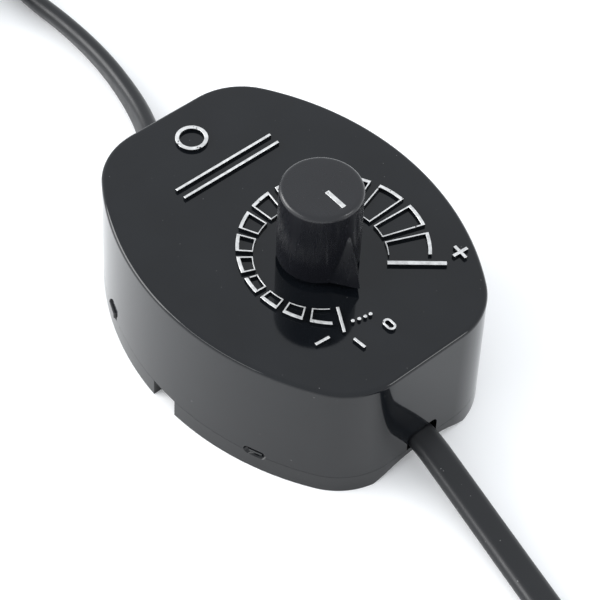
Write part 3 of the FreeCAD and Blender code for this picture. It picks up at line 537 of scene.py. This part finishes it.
def stripSolid(strip, levels, points, faces):
    # closed solid over a strip; each level is a height and how far its edge is drawn in
    outer, inner, closed = strip
    count = len(outer)
    rim = np.vstack([outer, inner[::-1]])
    if closed:
        loops = [outer, inner]
        wanted = [1, -1]
    else:
        loops = [rim]
        wanted = [1]
    flip = signedArea(outer if closed else rim) < 0
    if flip:
        wanted = [-way for way in wanted]
    rows = []
    for height, inset in levels:
        sign = -1 if flip else 1
        moved = [insetLoop(loop, inset * sign * (1 if way == wanted[0] else -1))
                 for loop, way in zip(loops, wanted)]
        if closed:
            pair = np.vstack(moved)
        else:
            pair = np.vstack([moved[0][:count], moved[0][count:][::-1]])
        rows.append(np.c_[pair, np.full(len(pair), height)])
    start = sum(len(block) for block in points)
    size = 2 * count
    points.extend(rows)
    rings = [np.arange(count), np.arange(2 * count - 1, count - 1, -1)]
    loopRings = [rings[0], rings[1]] if closed else [np.concatenate(rings)]
    new = []
    for level in range(len(levels) - 1):
        for ring in loopRings:
            low, high = ring + level * size, ring + (level + 1) * size
            new += np.stack([low, np.roll(low, -1), np.roll(high, -1), high], -1).tolist()
    last = (len(levels) - 1) * size
    across = np.arange(count if closed else count - 1)
    after = (across + 1) % count
    top = np.stack([across, across + count, after + count, after], -1)
    new += (top + last).tolist()
    new += top[:, ::-1].tolist()
    turned = [face[::-1] for face in new] if flip else new
    faces.extend([[number + start for number in face] for face in turned])


def stripPiece(name, strips, levels):
    points, faces = [], []
    for strip in strips:
        stripSolid(strip, levels, points, faces)
    return addPiece(name, np.vstack(points), faces, 25)


strips = dialStrips()
dialTop = housing["height"] + dial["height"]
markLevels = [(housing["height"] - 0.1, 0.0), (dialTop - 0.1, 0.0), (dialTop, 0.06)]
raisedMarks = stripPiece("raisedMarks", strips, markLevels)
dress(raisedMarks, "gloss_black")
settle(raisedMarks, "housing", "gloss_black", "top_shell")
foilLevels = [(dialTop - 0.03, 0.02), (dialTop + 0.03, 0.02), (dialTop + dial["foil"], 0.07)]
dialFoil = stripPiece("dialFoil", strips, foilLevels)
dress(dialFoil, "silver_foil")
settle(dialFoil, "housing", "silver_foil", "dial_foil")
print("marks:", len(strips))

# Knob: a slightly tapering round body with a prow, drawn as distance from its axis
# for each height and direction.
knobSize = {
    "x": 9.5, "radius": 9.6, "footRadius": 9.7, "foot": 37.6, "top": 59.4, "edge": 1.1,
    "tip": 14.5, "side": 0.74, "crest": (10.4, 50.3), "fall": 1.18,
    "recess": 7.9, "recessTop": 44.0, "hubRadius": 5.0, "hubFoot": 40.3, "bore": 3.1, "boreTop": 55.3,
    "blend": 0.22, "markAt": 4.5, "markLong": 5.8,
}


def prowReach(angle, z):
    # two flat sides meet at the prow's edge, which leans back from tip to crest, and two
    # planes fall away from the ridge behind the crest
    k = knobSize
    crestX, crestZ = k["crest"]
    edge = k["tip"] + (crestX - k["tip"]) * (z - k["foot"]) / (crestZ - k["foot"])
    ahead, aside = np.cos(angle), np.abs(np.sin(angle))
    fromSides = edge * k["side"] / np.maximum(k["side"] * ahead + aside, 1e-3)
    lean = k["fall"] / k["side"]
    fromAbove = (crestZ + k["fall"] * crestX - z) / np.maximum(k["fall"] * ahead + lean * aside, 1e-3)
    return np.where(ahead > 0.35, np.minimum(fromSides, fromAbove), 0.0)


def makeKnob():
    k = knobSize
    fine = np.radians(np.concatenate([np.linspace(-50, 50, 161), np.linspace(50, 310, 131)[1:-1]]))
    z = np.concatenate([[k["foot"] + 0.15], np.linspace(k["foot"] + 0.3, k["top"] - k["edge"] - 0.05, 76)])
    share = (z - k["foot"]) / (k["top"] - k["foot"])
    body = k["footRadius"] + (k["radius"] - k["footRadius"]) * share
    angle, height = np.meshgrid(fine, z)
    prow = prowReach(angle, height)
    plain = np.broadcast_to(body[:, None], prow.shape)
    blend = k["blend"]  # width over which prow and body run into each other
    lift = np.clip(0.5 + 0.5 * (prow - plain) / blend, 0, 1)
    reach = plain * (1 - lift) + prow * lift + blend * lift * (1 - lift) * 0.5
    reach = np.where(prow < plain - blend, plain, reach)
    rows = [(reach[row], z[row]) for row in range(len(z))]
    rows.insert(0, (reach[0] - 0.15, k["foot"]))
    flat = np.ones(len(fine))
    under = [(k["bore"] * 0.3, k["boreTop"]), (k["bore"], k["boreTop"]), (k["bore"], k["hubFoot"]),
             (k["hubRadius"], k["hubFoot"]), (k["hubRadius"], k["recessTop"]), (k["recess"], k["recessTop"]),
             (k["recess"], k["foot"])]
    rows = [(flat * radius, low) for radius, low in under] + rows
    for turn in np.radians(np.linspace(8, 90, 8)):
        drawnIn, drop = k["edge"] * (1 - math.cos(turn)), k["edge"] * (1 - math.sin(turn))
        rows.append((flat * (k["radius"] - drawnIn), k["top"] - drop))
    rows += [(flat * radius, k["top"]) for radius in (8.0, 6.5, 4.0, 1.5)]
    rings = np.array([np.c_[k["x"] + r * np.cos(fine), r * np.sin(fine), np.full(len(fine), low)]
                      for r, low in rows])
    poles = [(k["x"], 0, k["boreTop"]), (k["x"], 0, k["top"])]
    return closedShell("speedKnob", rings, poles, 28)


speedKnob = makeKnob()
dress(speedKnob, "satin_black")
settle(speedKnob, "knob_control", "satin_black", "knob")
knobBar = barStrip(knobSize["x"] + knobSize["markAt"], 0, 0, knobSize["markLong"], dial["bar"])
knobTop = knobSize["top"]
barLevels = [(knobTop - 0.1, 0.0), (knobTop + 0.04, 0.0), (knobTop + dial["foil"], 0.05)]
knobMark = stripPiece("knobMark", [knobBar], barLevels)
dress(knobMark, "silver_foil")
settle(knobMark, "knob_control", "silver_foil", "knob_mark")
print("knob:", len(speedKnob.data.polygons), "faces")


def softCopy(name, solidName, body, slotName, sharpFrom=30.0):
    # copy of a solid, its triangles merged into whole faces and its curved ones shaded smooth
    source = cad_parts[solidName]
    mesh = source.data.copy()
    mesh.name = name
    work = bmesh.new()
    work.from_mesh(mesh)
    bmesh.ops.remove_doubles(work, verts=work.verts, dist=0.000002)
    bmesh.ops.dissolve_limit(work, angle_limit=math.radians(0.6), verts=work.verts, edges=work.edges)
    work.to_mesh(mesh)
    work.free()
    piece = wrapMesh(name, mesh, sharpFrom)
    piece.matrix_world = source.matrix_world
    dress(piece, slotName)
    return settle(piece, body, slotName, solidName)


def wallShading(piece):
    # corners of faces on the outer wall take the plan's outward direction, tipped up by the flare
    mesh = piece.data
    plan, outward = housingPlan(9, 60, 120)
    places = np.zeros(len(mesh.vertices) * 3)
    mesh.vertices.foreach_get("co", places)
    places = places.reshape(-1, 3) / mm
    nearest = ((places[:, None, :2] - plan[None]) ** 2).sum(2).argmin(1)
    facing = outward[nearest]
    reach = ((places[:, :2] - plan[nearest]) * facing).sum(1)
    corners = np.zeros(len(mesh.loops), int)
    mesh.loops.foreach_get("vertex_index", corners)
    sizes = np.zeros(len(mesh.polygons), int)
    mesh.polygons.foreach_get("loop_total", sizes)
    flat = np.zeros(len(mesh.polygons) * 3)
    mesh.polygons.foreach_get("normal", flat)
    flat = np.repeat(flat.reshape(-1, 3), sizes, axis=0)
    shading = np.zeros(len(mesh.loops) * 3)
    mesh.corner_normals.foreach_get("vector", shading)
    shading = shading.reshape(-1, 3)
    onWall = (reach[corners] > 0.4) & ((flat[:, :2] * facing[corners]).sum(1) > 0.95)
    wall = np.c_[facing[corners], np.full(len(corners), housing["flare"] / housing["height"])]
    shading[onWall] = wall[onWall] / np.linalg.norm(wall[onWall], axis=1)[:, None]
    mesh.normals_split_custom_set(shading.tolist())
    print("wall corners shaded:", int(onWall.sum()), "of", len(corners))


baseCover = softCopy("baseCover", "base_cover", "housing", "black_abs")
wallShading(baseCover)
brownEnd = softCopy("brownEnd", "load_brown_core", "housing", "brown_pvc")
blueEnd = softCopy("blueEnd", "load_blue_core", "housing", "blue_pvc")
ferrules = softCopy("ferrules", "load_ferrules", "housing", "tinned_brass")


supply = {
    "route": [
        (-37, 0, 7.5), (-47, 0, 7.5), (-58.3, 3.9, 7.0), (-68, 10.6, 5.3), (-81, 15.3, 4.0), (-98, 18.4, 3.8),
        (-116, 18.7, 3.8), (-132, 17, 3.8), (-148, 18.5, 3.9), (-161, 23.4, 4.2), (-173, 28.8, 4.35),
    ],
    "centre": (-185.0, -10.0), "from": 75.0, "turns": 5.6, "tieAt": 235.0, "layers": 3,
    "riseCentre": (-183.2, -14.7), "riseRadius": 30.0, "riseFrom": 19.35,
    "twist": [(0, 0), (10, 0), (32, 70), (60, 98), (85, 114), (112, 114), (140, 90), (-100, 90), (-25, 0)],
}
load = {
    "route": [
        (37, 0, 7.5), (48, 0, 7.5), (60.5, -1.6, 5.6), (74, -3.4, 3.6), (91, -6.5, 3.0), (108, -9.8, 3.2),
        (121, -14.5, 3.8), (132, -22.3, 3.9), (141, -31.6, 4.1), (148.7, -39.3, 4.35),
    ],
    "centre": (177.0, -10.0), "from": -135.0, "turns": 3.69, "tieAt": 20.0, "layers": 2,
    "twist": [(0, 0), (74, 0), (110, 80), (122, 90), (-1, 90)],
}


def coilTurns(cord, perTurn=16):
    # turns lie two abreast and on each other: each turn keeps one radius and one height,
    # and eases to the next ones in its last sixth
    steps = int(round(cord["turns"] * perTurn))
    turn = np.arange(1, steps + 1) / perTurn

    def level(k):
        abreast = np.where(np.isin(k % 4, (0, 3)), coil["outer"], coil["inner"])
        return abreast, coil["foot"] + cordSize["wide"] * (0.5 + k // 2)

    whole = np.floor(turn - 1e-6)
    ease = np.clip((turn - whole - 5 / 6) * 6, 0, 1)
    ease = ease * ease * (3 - 2 * ease)
    last = whole + 1 >= cord["turns"]
    ease = np.where(last, 0, ease)
    (radiusNow, heightNow), (radiusNext, heightNext) = level(whole), level(whole + 1)
    radius = radiusNow + (radiusNext - radiusNow) * ease
    height = heightNow + (heightNext - heightNow) * ease
    angle = np.radians(cord["from"] + 360 * turn)
    x = cord["centre"][0] + radius * np.cos(angle)
    y = cord["centre"][1] + radius * np.sin(angle)
    return list(zip(x, y, height))


def riseToPlug():
    # a ring inside the coil's top that climbs from the last turn and leaves it straight into the plug
    turn = np.radians(np.linspace(291, 450, 9))
    share = np.linspace(0, 1, 9)
    height = supply["riseFrom"] + (plug["z"] - supply["riseFrom"]) * share * share * (3 - 2 * share)
    x = supply["riseCentre"][0] + supply["riseRadius"] * np.cos(turn)
    y = supply["riseCentre"][1] + supply["riseRadius"] * np.sin(turn)
    climb = list(zip(x, y, height))[1:]
    return climb + [(plug["reliefStart"] - step, plug["y"], plug["z"]) for step in (2, 8)]


def splineThrough(points):
    # smooth line with the given control points, as numpy rows in millimetres
    curve = bpy.data.curves.new("cordLine", "CURVE")
    curve.dimensions = "3D"
    spline = curve.splines.new("NURBS")
    spline.points.add(len(points) - 1)
    rows = np.ones((len(points), 4))
    rows[:, :3] = np.array(points, float) * mm
    spline.points.foreach_set("co", rows.ravel())
    spline.order_u = 3
    spline.use_endpoint_u = True
    spline.resolution_u = 8
    holder = bpy.data.objects.new("cordLine", curve)
    mesh = bpy.data.meshes.new_from_object(holder)
    line = np.zeros(len(mesh.vertices) * 3, np.float32)
    mesh.vertices.foreach_get("co", line)
    bpy.data.objects.remove(holder)
    bpy.data.meshes.remove(mesh)
    line = line.reshape(-1, 3).astype(float) / mm
    keep = np.r_[True, np.linalg.norm(np.diff(line, axis=0), axis=1) > 0.05]
    return line[keep]


def lengthAlong(line):
    return np.r_[0, np.cumsum(np.linalg.norm(np.diff(line, axis=0), axis=1))]


def flatSection(count=14):
    # two half rounds joined by flats; x is across, y is the thin way
    radius = cordSize["thick"] / 2
    reach = cordSize["wide"] / 2 - radius
    angle = np.linspace(-math.pi / 2, math.pi / 2, count)
    right = np.c_[reach + radius * np.cos(angle), radius * np.sin(angle)]
    return np.r_[right, -right]


def carry(section, line, twist):
    # a closed section carried along a line: it stands across the line's direction,
    # level at twist 0 and on edge at twist 90
    ahead = np.gradient(line, axis=0)
    ahead /= np.linalg.norm(ahead, axis=1)[:, None]
    across = np.cross(ahead, (0, 0, 1.0))
    across /= np.linalg.norm(across, axis=1)[:, None]
    rise = np.cross(across, ahead)
    turn = np.radians(twist)[:, None]
    wide = across * np.cos(turn) + rise * np.sin(turn)
    thin = rise * np.cos(turn) - across * np.sin(turn)
    return line[:, None] + section[None, :, :1] * wide[:, None] + section[None, :, 1:] * thin[:, None]


def tubeMesh(name, section, line, twist):
    points = carry(section, line, twist)
    rows, columns = points.shape[:2]
    faces = gridFaces(rows, columns)
    faces = [face[::-1] for face in faces]
    ends = [list(range(columns)), list(range(rows * columns - 1, (rows - 1) * columns - 1, -1))]
    return addPiece(name, points.reshape(-1, 3), faces + ends, 60)


def makeCord(name, control, twistAt):
    # twistAt lists how far along, in millimetres, and how many degrees the flat is turned
    line = splineThrough(control)
    along = lengthAlong(line)
    marks = np.array(twistAt, float)
    marks[:, 0] = np.where(marks[:, 0] < 0, along[-1] + marks[:, 0], marks[:, 0])
    twist = np.interp(along, marks[:, 0], marks[:, 1])
    soft = np.ones(9) / 9
    twist = np.convolve(np.pad(twist, 4, mode="edge"), soft, "valid")
    piece = tubeMesh(name, flatSection(), line, twist)
    dress(piece, "cord_pvc")
    print(name, "length", round(along[-1] / 1000, 4), "m,", len(line), "stations")
    return piece, line, along[-1] * mm


# Plug: flat two-pin shape that widens from its cord, with sleeved pins.
plug = {
    "y": 15.3, "rear": -199.0, "long": 36.0, "wide": 35.3, "thick": 13.7, "z": 29.95,
    "reliefStart": -184.0, "pinSpacing": 18.6,
}


def roundedSection(halfWide, halfThick, radius, perCorner=7):
    turn = np.radians(np.concatenate([np.linspace(a, a + 90, perCorner) for a in (0, 90, 180, 270)]))
    way = np.radians(np.repeat([45, 135, 225, 315], perCorner))
    y = np.sign(np.cos(way)) * (halfWide - radius) + radius * np.cos(turn)
    z = np.sign(np.sin(way)) * (halfThick - radius) + radius * np.sin(turn)
    return y, z


def sectionStack(name, stations, sharpFrom=30.0):
    # stations are (x, half width, half thickness, corner radius), going towards -X
    rings = []
    for x, halfWide, halfThick, radius in stations:
        y, z = roundedSection(halfWide, halfThick, min(radius, halfWide - 0.01, halfThick - 0.01))
        rings.append(np.c_[np.full(len(y), x), plug["y"] + y, plug["z"] + z])
    rings = np.array(rings)[:, ::-1]
    first, last = stations[0][0], stations[-1][0]
    poles = [(first, plug["y"], plug["z"]), (last, plug["y"], plug["z"])]
    return closedShell(name, rings, poles, sharpFrom)


def makePlugBody():
    front = plug["rear"] - plug["long"]
    along = np.array([0, 0.25, 0.9, 2, 4, 6.5, 9, 12, 15, 17.5, 20, 23, 26, 29, 32, 34.6, 35.4, 35.85, 36])
    width = np.interp(along, [0, 9, 20, 36], [6.8, 13.2, plug["wide"] / 2, plug["wide"] / 2])
    width -= 0.35 * np.exp(-((along - 27) / 5) ** 2)
    thick = np.interp(along, [0, 4, 12, 36], [6.2, 6.6, plug["thick"] / 2, plug["thick"] / 2])
    draw = np.interp(along, [0, 0.25, 0.9, 2, 34.6, 35.4, 35.85, 36], [1.2, 0.6, 0.15, 0, 0, 0.2, 0.6, 1.1])
    stations = [(plug["rear"] - a, w - d, t - d, 4.4) for a, w, t, d in zip(along, width, thick, draw)]
    stations = [(plug["rear"], 2.0, 2.0, 1.5)] + stations + [(front, 4.0, 2.0, 1.5)]
    return sectionStack("plugBody", stations)


def makePlugRelief():
    # sleeve with six grooves across it
    along = np.linspace(0, 17, 69)
    share = along / 19
    wave = np.cos(2 * math.pi * (along - 1.2) / 2.2)
    groove = np.where((along > 1.6) & (along < 14.6), np.clip(wave * 3 - 0.6, 0, 1), 0)
    stations = [(plug["reliefStart"] - a, 4.6 + 1.4 * s - 0.55 * g, 3.2 + 2.0 * s - 0.55 * g, 3.0)
                for a, s, g in zip(along, share, groove)]
    stations = [(plug["reliefStart"], 1.0, 0.8, 0.5), (plug["reliefStart"], 4.2, 2.8, 2.6)] + stations
    stations.append((plug["reliefStart"] - 17, 2.0, 2.0, 1.5))
    return sectionStack("plugRelief", stations)


def roundPin(y, profile, count=28):
    # profile lists (distance in front of the plug, radius)
    turn = np.linspace(0, 2 * math.pi, count, endpoint=False)
    front = plug["rear"] - plug["long"]
    return np.array([np.c_[np.full(count, front - a), y + r * np.cos(turn), plug["z"] + r * np.sin(turn)]
                     for a, r in profile])[:, ::-1]


def makePins(name, profile):
    points, faces = [], []
    for way in (-1, 1):
        rings = roundPin(plug["y"] + way * plug["pinSpacing"] / 2, profile)
        rows, columns = rings.shape[:2]
        start = sum(len(block) for block in points)
        points.append(rings.reshape(-1, 3))
        faces += gridFaces(rows, columns, start=start)
        faces.append([start + n for n in range(columns)][::-1])
        faces.append([start + (rows - 1) * columns + n for n in range(columns)])
    return addPiece(name, np.vstack(points), faces, 40)


tipTurn = np.radians(np.linspace(0, 84, 7))
tipProfile = [(17.8 + 1.2 * math.sin(t), 0.8 + 1.2 * math.cos(t)) for t in tipTurn]
plugBody = dress(makePlugBody(), "plug_pvc")
plugRelief = dress(makePlugRelief(), "plug_pvc")
plugPins = dress(makePins("plugPins", [(9.6, 1.8), (9.9, 1.8), (9.9, 2.0)] + tipProfile), "nickel_brass")
pinSleeves = dress(makePins("pinSleeves", [(-2.0, 1.97), (9.7, 1.97), (9.95, 1.75)]), "plug_pvc")
settle(plugBody, "housing", "plug_pvc", "plug_body")
settle(plugRelief, "housing", "plug_pvc", "plug_relief")
settle(plugPins, "housing", "nickel_brass", "plug_pins")
settle(pinSleeves, "housing", "plug_pvc", "plug_pins")


def makeTie(name, cord):
    # strap that goes round the coil's section, with its edges broken
    centre, angle, layers = cord["centre"], cord["tieAt"], cord["layers"]
    gap = 0.3
    low = coil["inner"] - cordSize["thick"] / 2 - gap
    high = coil["outer"] + cordSize["thick"] / 2 + gap
    bottom, lid = coil["foot"] - gap, coil["foot"] + layers * cordSize["wide"] + gap
    turn = np.radians(np.arange(0, 360, 9) + 4.5)
    radius = 1.6
    reach = (low + high) / 2 + np.sign(np.cos(turn)) * ((high - low) / 2 - radius) + radius * np.cos(turn)
    rise = (bottom + lid) / 2 + np.sign(np.sin(turn)) * ((lid - bottom) / 2 - radius) + radius * np.sin(turn)
    out = np.c_[np.cos(turn), np.sin(turn)]
    corners = [(-3.0, 0.0), (3.0, 0.0), (3.0, 0.45), (2.7, 0.6), (-2.7, 0.6), (-3.0, 0.45)]
    rings = []
    facing = math.radians(angle)
    for aside, thick in corners:
        r, z = reach + thick * out[:, 0], rise + thick * out[:, 1]
        x = centre[0] + r * math.cos(facing) - aside * math.sin(facing)
        y = centre[1] + r * math.sin(facing) + aside * math.cos(facing)
        rings.append(np.c_[x, y, np.maximum(z, 0.02)])
    rings = np.array(rings + rings[:1])
    rows, columns = rings.shape[:2]
    points = rings[:-1].reshape(-1, 3)
    faces = np.array(gridFaces(rows, columns)) % ((rows - 1) * columns)
    return addPiece(name, points, faces.tolist(), 40)


supplyTie = dress(makeTie("supplyTie", supply), "tie_pvc")
loadTie = dress(makeTie("loadTie", load), "tie_pvc")
settle(supplyTie, "housing", "tie_pvc", "supply_tie")
settle(loadTie, "housing", "tie_pvc", "load_tie")


supplyLine = supply["route"] + coilTurns(supply) + riseToPlug()
supplyCord, supplyPath, supplyLength = makeCord("supplyCord", supplyLine, supply["twist"])
loadLine = load["route"] + coilTurns(load)
loadCord, loadPath, loadLength = makeCord("loadCord", loadLine, load["twist"])
settle(supplyCord, "housing", "cord_pvc", "supply_cord", "supply_coil")
settle(loadCord, "housing", "cord_pvc", "load_cord", "load_coil")

studio = {"floor": (0.95, 0.95, 0.95), "glow": 0.1, "sky": (0.965, 1.0, 1.04), "skyLevel": 1.08}
softBoxes = {  # away and size in metres
    "windowSide": {"way": (-0.70, -0.58, 0.42), "away": 1.6, "size": (1.1, 0.8), "level": 8.0},
    "frontSide": {"way": (-0.18, -0.86, 0.44), "away": 1.6, "size": (0.9, 0.3), "level": 5.0},
    "backSide": {"way": (0.78, 0.43, 0.46), "away": 1.6, "size": (0.45, 0.45), "level": 6.0},
}


def setStudio():
    mesh = bpy.data.meshes.new("studioFloor")
    reach = 6.0
    corners = [(-reach, -reach, 0), (reach, -reach, 0), (reach, reach, 0), (-reach, reach, 0)]
    mesh.from_pydata(corners, [], [(0, 1, 2, 3)])
    floor = bpy.data.objects.new("studioFloor", mesh)
    bpy.context.scene.collection.objects.link(floor)
    paper = bpy.data.materials.new("studioPaper")
    paper.use_nodes = True
    shader = paper.node_tree.nodes["Principled BSDF"]
    shader.inputs["Base Color"].default_value = (*studio["floor"], 1)
    shader.inputs["Roughness"].default_value = 0.9
    shader.inputs["Emission Color"].default_value = (1, 1, 1, 1)
    shader.inputs["Emission Strength"].default_value = studio["glow"]
    mesh.materials.append(paper)
    world = bpy.data.worlds.new("studioSky")
    world.use_nodes = True
    world.node_tree.nodes["Background"].inputs["Color"].default_value = (*studio["sky"], 1)
    world.node_tree.nodes["Background"].inputs["Strength"].default_value = studio["skyLevel"]
    bpy.context.scene.world = world
    bpy.context.scene.view_settings.view_transform = "Standard"
    for name, box in softBoxes.items():
        lamp = bpy.data.lights.new(name, "AREA")
        lamp.shape = "RECTANGLE"
        lamp.size, lamp.size_y = box["size"]
        lamp.energy = box["level"] * math.pi * lamp.size * lamp.size_y  # level is its brightness as seen
        way = Vector(box["way"]).normalized()
        holder = bpy.data.objects.new(name, lamp)
        facing = way.to_track_quat("Z", "Y").to_matrix().to_4x4()
        holder.matrix_world = Matrix.Translation(way * box["away"]) @ facing
        bpy.context.scene.collection.objects.link(holder)


setStudio()
